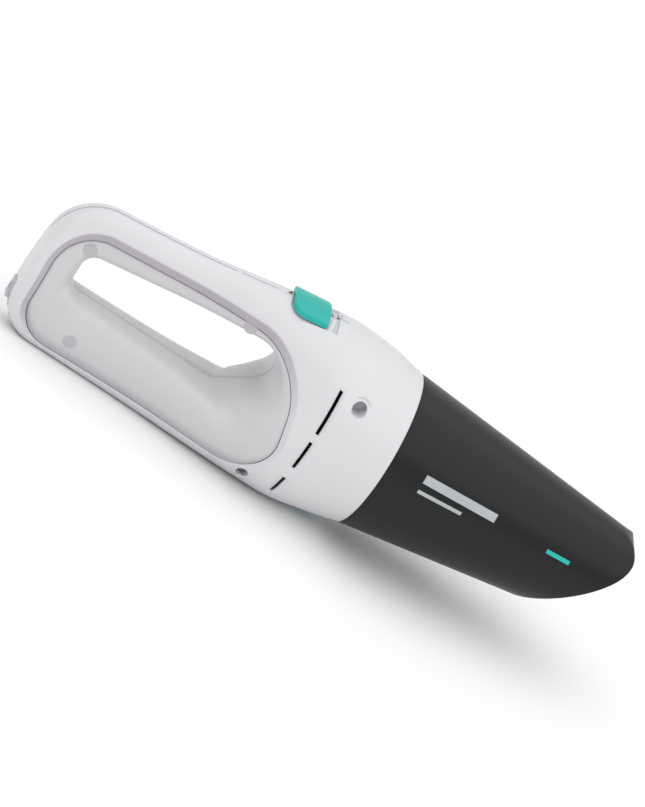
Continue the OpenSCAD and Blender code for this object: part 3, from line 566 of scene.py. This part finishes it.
for side, mirror in (("right", 1), ("left", -1)):
    bm = shell()
    for x, z, radius in BODY_SCREWS:
        sunk_pocket(bm, (x, z), radius)
    thumb_pocket(bm)
    bm.normal_update()
    parting_groove(bm)
    bmesh.ops.scale(bm, vec=(1, mirror, 1), verts=bm.verts)
    finished(bm, f"shell_{side}", "body", white_abs, [f"housing_{side}"], wall=WALL)


# ---- Liner of the hand loop: right and left ----
# Two softly sculpted light grey ABS mouldings that fill the recess and make the inside of the hand loop.
# Each is held from inside by its three screws, whose pockets are closed with grey plugs.
OPENING = [(125, 3, 16), (141, 11.5, 15), (35.5, 8.5, 8.5), (34.5, 0, 7.5)]
LINER_GAP = 0.35
LINER_LOOPS = 30
# How square the flare into the opening is, and how deep its face lies: top, rear, front and underside
LINER_POWERS = (2.6, 2.6, 2.3, 4.2)
LINER_INSETS = (4.9, 4.6, 1.7, 0.8)
LINER_WALL = 2.0
opening = rounded_outline(OPENING, STEPS)
grey_abs = moulded("grey_abs_moulded", "#D0CFD1", "#C9C8CB", 0.4, 0.5, 0.018)


def liner_point(spoke, loop):
    """A point of the right liner: along the side from the gap at the recess, then round into the opening."""
    rim, out = recess[spoke % SPOKES]
    hole = opening[spoke % SPOKES][0]
    start = rim - out * LINER_GAP
    power = lip(out, *LINER_POWERS)
    turn = math.radians(90) * loop / LINER_LOOPS
    place = start.lerp(hole, math.sin(turn)**(2 / power))
    inset = lip(out, *LINER_INSETS)
    flat = max(math.cos(turn), 0.0)**(2 / power)
    return Vector((place.x, -(skin_y(place.x, place.y) - inset) * flat, place.y))


LINER_SCREWS = [(25.5, 20.5), (43.4, -31.5), (128.0, 31.5)]
for side, mirror in (("right", 1), ("left", -1)):
    bm = bmesh.new()
    sheet_of(bm, SPOKES, LINER_LOOPS, liner_point)
    if side == "right":
        bmesh.ops.recalc_face_normals(bm, faces=bm.faces)
        liner_side = BVHTree.FromBMesh(bm)
    bmesh.ops.scale(bm, vec=(1, mirror, 1), verts=bm.verts)
    finished(bm, f"liner_{side}", "body", grey_abs, [f"loop_liner_{side}"],
             wall=LINER_WALL)


# ---- Screw plugs ----
# Flat discs of darker grey polyethylene with rounded rims. Each is pressed into one of the liner's screw
# pockets and stands a hair proud of the liner's face.
PLUG_RADIUS = 4.3
PLUG_PROUD = 0.08
PLUG_DEPTH = 3.0
plug_grey = moulded("plug_polyethylene", "#BDBBBE", "#B4B2B6", 0.5, 0.6, 0.012)
bm = bmesh.new()
for x, z in LINER_SCREWS:
    hit, normal, _, _ = liner_side.ray_cast(Vector((x, -200, z)), Vector((0, 1, 0)))
    made = bmesh.ops.create_cone(bm, cap_ends=True, segments=48, radius1=PLUG_RADIUS, radius2=PLUG_RADIUS,
                                 depth=PLUG_DEPTH)
    facing = -normal if normal.y > 0 else normal
    turn = facing.to_track_quat("Z", "Y").to_matrix()
    # The disc stands as high as the liner does round its rim
    rim = [turn @ Vector((PLUG_RADIUS * math.cos(a), PLUG_RADIUS * math.sin(a), 0)) for a in range(12)]
    met = [liner_side.ray_cast(hit + place + facing * 9, -facing)[0] for place in rim]
    high = max([(place - hit).dot(facing) for place in met if place] + [0.0])
    bmesh.ops.translate(bm, vec=(0, 0, high + PLUG_PROUD - PLUG_DEPTH / 2), verts=made["verts"])
    bmesh.ops.rotate(bm, cent=(0, 0, 0), matrix=turn, verts=made["verts"])
    bmesh.ops.translate(bm, vec=hit, verts=made["verts"])
rims = [edge for edge in bm.edges if len(edge.link_faces) == 2 and edge.calc_face_angle() > 1]
bmesh.ops.bevel(bm, geom=rims, offset=0.35, offset_type="OFFSET", affect="EDGES", segments=3, profile=0.5,
                material=-1)
finished(bm, "plugs", "body", plug_grey, ["screw_plugs"])


# ---- Thumb switch ----
# A teal ABS slide, moulded glossy, crowned across the body and rounded at its rear.
# It runs in the shallow pocket on top of the shells.
teal_plastic = moulded("teal_abs_gloss", "#00B4A9", "#00ACA1", 0.32, 0.8, 0.006)
SWITCH_CORNER = 1.5
SWITCH_PLAN = [(SWITCH_LENGTH / 2 - SWITCH_CORNER, SWITCH_CORNER - SWITCH_WIDTH / 2, SWITCH_CORNER),
               (SWITCH_LENGTH / 2 - SWITCH_CORNER, SWITCH_WIDTH / 2 - SWITCH_CORNER, SWITCH_CORNER),
               (SWITCH_ROUND - SWITCH_LENGTH / 2, SWITCH_WIDTH / 2 - SWITCH_ROUND, SWITCH_ROUND),
               (SWITCH_ROUND - SWITCH_LENGTH / 2, SWITCH_ROUND - SWITCH_WIDTH / 2, SWITCH_ROUND)]
plan = rounded_outline(SWITCH_PLAN, [(8, 20), (8, 16), (20, 4), (20, 16)])
EDGE = 0.9
EDGE_LOOPS = 6
SIDE_DROPS = (2.0, 3.2)
CROWN_LOOPS = 12
# The top's loops shrink towards the middle by this much
TOP_INSET = 12.0
# Each loop's inset from the side and drop below the crown: the top, the rounded edge, then the side
switch_loops = [(TOP_INSET - (TOP_INSET - EDGE) * k / CROWN_LOOPS, 0.0) for k in range(CROWN_LOOPS + 1)]
for k in range(1, EDGE_LOOPS + 1):
    turn = math.radians(90 * k / EDGE_LOOPS)
    switch_loops.append((EDGE - EDGE * math.sin(turn), EDGE - EDGE * math.cos(turn)))
switch_loops += [(0.0, drop) for drop in SIDE_DROPS]


def switch_point(i, loop):
    point, out = plan[i % len(plan)]
    inset, drop = switch_loops[loop]
    if inset <= EDGE:
        place = point - out * inset
    else:
        place = (point - out * EDGE) * (TOP_INSET - inset) / (TOP_INSET - EDGE)
    top = SWITCH_HEIGHT - CROWN + math.sqrt(CROWN**2 - place.y**2)
    return Vector((place.x, place.y, top - drop))


bm = bmesh.new()
sheet_of(bm, len(plan), len(switch_loops) - 1, switch_point)
bmesh.ops.rotate(bm, cent=(0, 0, 0), matrix=Matrix.Rotation(-SWITCH_TILT, 3, "Y"), verts=bm.verts)
bmesh.ops.translate(bm, vec=(SWITCH_X, 0, top_at(SWITCH_X)), verts=bm.verts)
finished(bm, "thumb_switch", "switch", teal_plastic, ["switch_slider"], sharp=50)


# ---- Dust cup ----
# A long tapered bucket of charcoal ABS, moulded in one with its slanted open mouth and its nose.
# Its rear rim meets the shells in a fine chamfered gap, and the whole cup pulls off forwards.
CUP_LENGTH = 163.0
CUP_START = LENGTH + 0.3
CUP_TAPER = math.tan(math.radians(7))
CUP_WALL = 2.2
NOSE_X = LENGTH + CUP_LENGTH + 1.5
NOSE_Z = 17.0
NOSE_ROUND = 11.0
LIP_Z = 16.0
MOUTH_BACK = NOSE_X - 54.5
MOUTH_BULGE = 2.6
MOUTH_BLEND = 7.0
SEAM_STEP = 0.4
# The nose keeps the cup's height from this far behind its tip
NOSE_FLAT = 6.0
LIP_ROWS = 14
CUP_COLUMNS = 160
CUP_LOOPS = 56
charcoal_abs = moulded("charcoal_abs_satin", "#111214", "#0D0E10", 0.34, 0.5, 0.012)
charcoal_abs.node_tree.nodes["Principled BSDF"].inputs["Specular IOR Level"].default_value = 0.3


def cup_radius(x):
    return SEAM_RADIUS - (x - LENGTH) * CUP_TAPER


MOUTH_LOW = -cup_radius(MOUTH_BACK)


def mouth_x(z):
    """Place of the mouth's slanted rim at height z: a shallow bulge, rounded into the nose and the chin."""
    t = (z - MOUTH_LOW) / (NOSE_Z - MOUTH_LOW)
    slant = MOUTH_BACK + (NOSE_X - MOUTH_BACK) * t + 4 * MOUTH_BULGE * t * (1 - t)
    # The two straights of the outline meet in a round, eased with a soft minimum
    gap = slant - NOSE_X
    return NOSE_X + 0.5 * (gap - math.hypot(gap, MOUTH_BLEND))


def nose_trim(z, top):
    """What the nose's round takes off the front, z below the cup's top."""
    deep = top - z
    if deep >= NOSE_ROUND:
        return 0.0
    return NOSE_ROUND - math.sqrt(max(NOSE_ROUND**2 - (NOSE_ROUND - deep)**2, 0))


def cup_front(z):
    return mouth_x(z) - nose_trim(z, cup_radius(NOSE_X - NOSE_FLAT))


def cup_end(angle):
    """Where the cup's skin, followed forwards at an angle, meets the front."""
    near, far = LENGTH + 40, NOSE_X + 2
    for _ in range(40):
        x = (near + far) / 2
        z = cup_radius(x) * math.sin(angle)
        z = min(z, cup_radius(NOSE_X - NOSE_FLAT) - 0.01)
        near, far = (x, far) if x < cup_front(z) else (near, x)
    return near


def cup_point(i, loop):
    angle = math.tau * i / CUP_COLUMNS
    end = cup_end(angle)
    x = CUP_START + (end - CUP_START) * min(loop / CUP_LOOPS, 1)
    radius = cup_radius(x) - (SEAM_STEP if loop == 0 else 0)
    point = Vector((x + (SEAM_STEP if loop == 1 else 0), -radius * math.cos(angle), radius * math.sin(angle)))
    if loop > CUP_LOOPS and point.z > LIP_Z:
        z = point.z - (point.z - LIP_Z) * (loop - CUP_LOOPS) / LIP_ROWS
        point = Vector((min(cup_front(z), NOSE_X), point.y, z))
    return point


bm = bmesh.new()
sheet_of(bm, CUP_COLUMNS, CUP_LOOPS + LIP_ROWS, cup_point)
finished(bm, "dust_bucket", "cup", charcoal_abs, ["dust_cup"], wall=CUP_WALL, sharp=50,
         rounded=0.6)


# ---- Neck of the cup ----
# A ring of the same ABS that plugs into the housing. Eight ribs join it to the inside of the bucket's
# wall, moulded in one with both.
NECK_X = (232.5, 238.0)
NECK_RADIUS = (45.15, 47.15)
RIB_END = 256.0
RIB_COUNT = 8
RIB_THICK = 1.6
# A rib's inner and outer faces where it meets the ring and where it meets the wall, run a little into each
RIB_AT_RING = (NECK_RADIUS[0] - 0.2, NECK_RADIUS[1] - 0.3)
RIB_AT_WALL = (cup_radius(RIB_END) - CUP_WALL - 0.6, cup_radius(RIB_END) - CUP_WALL + 0.3)


def neck_point(i, j):
    x = NECK_X[j in (1, 2)]
    radius = NECK_RADIUS[j in (2, 3)]
    turn = math.tau * i / CUP_COLUMNS
    return Vector((x, radius * math.cos(turn), radius * math.sin(turn)))


bm = bmesh.new()
sheet_of(bm, CUP_COLUMNS, 4, neck_point)
for k in range(RIB_COUNT):
    made = bmesh.ops.create_cube(bm, size=1)["verts"]
    for vert in made:
        front = vert.co.x > 0
        inner, outer = RIB_AT_WALL if front else RIB_AT_RING
        x = RIB_END if front else NECK_X[1] - 1
        vert.co = Vector((x, vert.co.y * RIB_THICK, outer if vert.co.z > 0 else inner))
    turn = Matrix.Rotation(math.tau * (k + 0.5) / RIB_COUNT, 3, "X")
    bmesh.ops.rotate(bm, cent=(0, 0, 0), matrix=turn, verts=made)
finished(bm, "cup_neck", "cup", charcoal_abs, ["dust_cup"], rounded=0.3)


# ---- Marks on the cup ----
# Plain pad-printed bars, two pale grey and one teal, in place of any lettering. The ink lies on the
# bucket's skin.
PRINT_THICK = 0.08
BAR_COLUMNS = 24
BAR_ROWS = 6
print_grey = moulded("print_ink_grey", "#B9BCBE", "#AEB1B4", 0.55, 0.4, 0.004)
print_teal = moulded("print_ink_teal", "#12BDB4", "#0FB0A8", 0.55, 0.4, 0.004)


def printed_bar(name, start, length, angle, tall, ink):
    """A bar along the right side of the bucket, at an angle up from the side, tall across."""
    bm = bmesh.new()

    def place(i, j):
        x = start + length * i / BAR_COLUMNS
        turn = math.radians(angle) + tall * (j / BAR_ROWS - 0.5) / cup_radius(x)
        radius = cup_radius(x) + PRINT_THICK
        return Vector((x, -radius * math.cos(turn), radius * math.sin(turn)))
    sheet_of(bm, BAR_COLUMNS, BAR_ROWS, place)
    finished(bm, name, "cup", ink)


# Each bar's start along the machine, length, angle up from the side and height
printed_bar("print_long", 258, 50, 17, 5.5, print_grey)
printed_bar("print_short", 258, 30, 7, 2.2, print_grey)
printed_bar("print_teal", 345, 16, 14, 2.6, print_teal)


# ---- Battery ----
# Seven metal cells in shrink sleeves, held by a moulded ABS cradle in the lower arm. Nickel straps are
# spot-welded across their ends.
STAIN_SIZE = 6.0


def metal(name, light, dark, rough, across, along, relief, ior=2.5):
    """Bare metal with drawn or turned lines: across and along are the lines' sizes in millimetres."""
    material = bpy.data.materials.new(name)
    material.use_nodes = True
    tree = material.node_tree
    shader = tree.nodes["Principled BSDF"]
    shader.inputs["Metallic"].default_value = 1.0
    shader.inputs["IOR"].default_value = ior
    place = add(tree, "ShaderNodeTexCoord").outputs["Object"]
    stretch = add(tree, "ShaderNodeMapping", [(place, "Vector")],
                  Scale=(1000 / along, 1000 / across, 1000 / across))
    lines = add(tree, "ShaderNodeTexNoise", [(stretch.outputs["Vector"], "Vector")], Scale=1, Detail=4)
    stains = add(tree, "ShaderNodeTexNoise", [(place, "Vector")], Scale=1000 / STAIN_SIZE, Detail=3)
    tint = add(tree, "ShaderNodeMix", [(stains.outputs["Fac"], "Factor")], data_type="RGBA")
    tint.inputs[6].default_value = srgb(light)
    tint.inputs[7].default_value = srgb(dark)
    tree.links.new(tint.outputs[2], shader.inputs["Base Color"])
    gloss = add(tree, "ShaderNodeMapRange", [(lines.outputs["Fac"], "Value")], From_Min=0.3, From_Max=0.7,
                To_Min=rough - 0.08, To_Max=rough + 0.1)
    tree.links.new(gloss.outputs["Result"], shader.inputs["Roughness"])
    bump = add(tree, "ShaderNodeBump", [(lines.outputs["Fac"], "Height")], Distance=relief / 1000,
               Strength=0.7)
    tree.links.new(bump.outputs["Normal"], shader.inputs["Normal"])
    return material


cell_sleeve = moulded("cell_sleeve_pvc", "#3E9E63", "#2F8A54", 0.3, 3.0, 0.05)
cradle_abs = moulded("cradle_abs_black", "#242527", "#1E1F21", 0.5, 0.6, 0.02)
nickel_strip = metal("nickel_strip_rolled", "#C9C5BB", "#B5B0A5", 0.3, 0.2, 8, 0.004, 2.0)
from_node("battery_cells", "body", cell_sleeve, 0.8)
from_node("cell_cradle", "body", cradle_abs, 0.2)
from_node("cell_straps", "body", nickel_strip, 0.05)


# ---- Circuit board ----
# A glass-epoxy board under green solder mask, with its charging chip and connector soldered on.
# It stands just inside the rear end, by the socket and the light.


def board_mask():
    """Green solder mask over copper tracks 1 mm apart, which show only in its colour."""
    material = moulded("circuit_board_epoxy", "#1F6B42", "#175A36", 0.35, 0.8, 0.01)
    tree = material.node_tree
    shader = tree.nodes["Principled BSDF"]
    place = add(tree, "ShaderNodeTexCoord").outputs["Object"]
    turned = add(tree, "ShaderNodeMapping", [(place, "Vector")], Rotation=(0, math.pi / 2, 0))
    tracks = add(tree, "ShaderNodeTexBrick", [(turned.outputs["Vector"], "Vector")], Scale=1000,
                 Mortar_Size=0.16, Brick_Width=4.0, Row_Height=1.0)
    tracks.inputs["Color1"].default_value = srgb("#1F6B42")
    tracks.inputs["Color2"].default_value = srgb("#237549")
    tracks.inputs["Mortar"].default_value = srgb("#3C9A63")
    tree.links.new(tracks.outputs["Color"], shader.inputs["Base Color"])
    return material


from_node("circuit_board", "body", board_mask(), 0.15)


# ---- Charging socket and light ----
# A small moulded grey bezel, set into the rear end, with a round bore for the charger's plug. A red
# acrylic lens shows through its own hole above it.
from_node("charging_socket", "body", plug_grey, 0.4)
lens_red = moulded("light_lens_acrylic", "#B32A22", "#9E211B", 0.12, 0.8, 0.002, 1.49)
lens_red.node_tree.nodes["Principled BSDF"].inputs["Transmission Weight"].default_value = 0.5
from_node("charge_light", "body", lens_red, 0.4)


# ---- Leads and power switch ----
# PVC-sleeved leads join the board, the switch, the cells and the motor. The switch is a bought one in a
# black nylon case, under the carrier that the slide moves.
lead_sleeve = moulded("lead_sleeve_pvc", "#A8241E", "#8F1D18", 0.45, 1.2, 0.02)
nylon_black = moulded("nylon_black_moulded", "#1B1C1E", "#151618", 0.42, 0.5, 0.02)
from_node("leads", "body", lead_sleeve, 0)
from_node("power_switch", "body", nylon_black, 0.3)
from_node("switch_carrier", "switch", nylon_black, 0.3)


# ---- Motor ----
# A drawn steel can with a moulded end cap. Inside are ferrite magnets and the wound armature, which turns on
# a ground shaft in sintered bronze bushes. A nylon mount and a rubber ring hold it in the housing.
can_steel = metal("motor_can_drawn_steel", "#B9BBBE", "#A6A8AC", 0.32, 0.4, 12, 0.008)
shaft_steel = metal("shaft_ground_steel", "#D2D3D5", "#C2C4C7", 0.18, 0.3, 0.12, 0.003)
magnet_ferrite = moulded("magnet_ferrite_sintered", "#3A3A3D", "#2C2C2F", 0.6, 0.3, 0.04, 2.0)
bush_bronze = metal("bearing_sintered_bronze", "#A97A45", "#8E6334", 0.5, 0.25, 0.25, 0.02)
copper_wire = metal("armature_enamelled_copper", "#B4622F", "#8F4A21", 0.28, 0.45, 14, 0.2)
screw_zinc = metal("screw_zinc_plated_steel", "#C3C6CA", "#AFB3B8", 0.36, 0.8, 0.8, 0.006)
rubber = moulded("rubber_moulded_black", "#202021", "#181819", 0.75, 0.6, 0.04, 1.52)
from_node("motor_can", "body", can_steel, 0.6)
from_node("motor_end_cap", "body", nylon_black, 0.4)
from_node("motor_magnets", "body", magnet_ferrite, 0.3)
from_node("motor_bearings", "body", bush_bronze, 0.2)
from_node("motor_mount", "body", nylon_black, 0.3)
from_node("motor_isolator", "body", rubber, 0.4)
from_node("motor_armature", "rotor", copper_wire, 0.8)
from_node("motor_shaft", "rotor", shaft_steel, 0.3)
from_node("housing_screws", "body", screw_zinc, 0.2)


# ---- Impeller and fan shroud ----
# A moulded glass-filled nylon fan with nine leaning blades, pressed onto the motor's shaft. The ABS shroud
# round it is the bulkhead that it draws the air through.
glass_nylon = moulded("impeller_glass_nylon", "#2B2E30", "#222527", 0.5, 0.35, 0.03)
shroud_abs = moulded("shroud_abs_grey", "#4A4C4F", "#424447", 0.48, 0.5, 0.02)
from_node("impeller", "rotor", glass_nylon, 0.2)
from_node("fan_shroud", "body", shroud_abs, 0.4)


# ---- Release button ----
# A teal ABS button, moulded, in the opening under the body. A wound steel spring stands above it; the real
# spring shortens as the button is pressed, but here it keeps its modelled length.
from_node("release_button", "release", teal_plastic, 0.6)
spring = from_node("release_spring", "body", shaft_steel, 0)
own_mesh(spring)


# ---- Filter ----
# A moulded grey ABS frame that carries a woven steel screen round a pleated cloth. Moulded rubber seals
# close it against the bulkhead and the cup against the body.
FILTER_RIM_X = 235.1
FILTER_TIP_X = 295.0
FILTER_RADII = (35.0, 22.0)
SCREEN_COLUMNS = 132
SCREEN_ROWS = 34
WIRE = 0.4


def screen_point(i, j):
    """A crossing of the screen's wires, in the middle of its thickness."""
    share = 0.5 / SCREEN_ROWS + j / SCREEN_ROWS * (1 - 1 / SCREEN_ROWS)
    radius = FILTER_RADII[0] + (FILTER_RADII[1] - FILTER_RADII[0]) * share - WIRE
    turn = math.tau * i / SCREEN_COLUMNS
    x = FILTER_RIM_X + (FILTER_TIP_X - FILTER_RIM_X) * share
    return Vector((x, radius * math.cos(turn), radius * math.sin(turn)))


bm = bmesh.new()
sheet_of(bm, SCREEN_COLUMNS, SCREEN_ROWS, screen_point)
bmesh.ops.remove_doubles(bm, verts=bm.verts, dist=0.01)
bmesh.ops.wireframe(bm, faces=bm.faces, thickness=WIRE, use_replace=True, use_boundary=True,
                    use_even_offset=False)
screen_steel = metal("screen_woven_steel", "#C4C6C8", "#AEB0B3", 0.3, 0.4, 0.4, 0.006)
finished(bm, "screen_woven", "filter", screen_steel, ["filter_screen"], sharp=60)


def filter_cloth():
    """Bonded fibre cloth: crossed fibres 0.3 mm across over soft clouds."""
    material = moulded("filter_cloth_bonded", "#E9E6DD", "#DAD6CA", 0.85, 0.3, 0.08, 1.5)
    material.node_tree.nodes["Principled BSDF"].inputs["Sheen Weight"].default_value = 0.3
    return material


frame_abs = moulded("filter_frame_abs", "#55575A", "#4C4E51", 0.45, 0.5, 0.02)
from_node("filter_frame", "filter", frame_abs, 0.3)
from_node("pleated_filter", "filter", filter_cloth(), 0.1)
from_node("filter_seal", "filter", rubber, 0.3)
from_node("cup_seal", "cup", rubber, 0.2)


# ---- Inlet guard and flap ----
# A moulded plate across the cup, in the cup's own ABS. A rubber flap on a steel pin hangs from it and
# shuts when the air stops.
flap_rubber = moulded("flap_rubber_moulded", "#262627", "#1D1D1E", 0.7, 0.8, 0.05, 1.52)
from_node("inlet_guard", "cup", charcoal_abs, 0.3)
from_node("inlet_flap", "flap", flap_rubber, 0.4)
from_node("flap_pin", "cup", shaft_steel, 0.3)


# ---- Studio ----
# A pale seamless paper floor under a soft, even white sky, with one very broad sun from above.
# Nothing here belongs to the machine.
FLOOR_RADIUS = 30.0
FLOOR_DROP = 0.0005
SKY_STRENGTH = 0.72
SUN_STRENGTH = 1.25
SUN_SPREAD = math.radians(100)
bpy.context.scene.view_settings.view_transform = "Standard"
floor_mesh = bpy.data.meshes.new("studio_floor")
bm = bmesh.new()
bmesh.ops.create_circle(bm, cap_ends=True, segments=96, radius=FLOOR_RADIUS)
bmesh.ops.translate(bm, vec=(0, 0, cad_box[0].z - FLOOR_DROP), verts=bm.verts)
bm.to_mesh(floor_mesh)
bm.free()
floor = bpy.data.objects.new("studio_floor", floor_mesh)
bpy.context.scene.collection.objects.link(floor)
floor_mesh.materials.append(moulded("studio_paper", "#FBFBFB", "#FAFAFA", 0.9, 2, 0.01))
sky = bpy.data.worlds.new("studio_sky")
bpy.context.scene.world = sky
sky.use_nodes = True
sky.node_tree.nodes["Background"].inputs["Color"].default_value = (1, 1, 1, 1)
sky.node_tree.nodes["Background"].inputs["Strength"].default_value = SKY_STRENGTH

sun = bpy.data.lights.new("soft_sun", "SUN")
sun.energy = SUN_STRENGTH
sun.angle = SUN_SPREAD
sun_lamp = bpy.data.objects.new("soft_sun", sun)
bpy.context.scene.collection.objects.link(sun_lamp)
sun_lamp.matrix_world = Vector((0.12, -0.25, 1.0)).to_track_quat("Z", "Y").to_matrix().to_4x4()
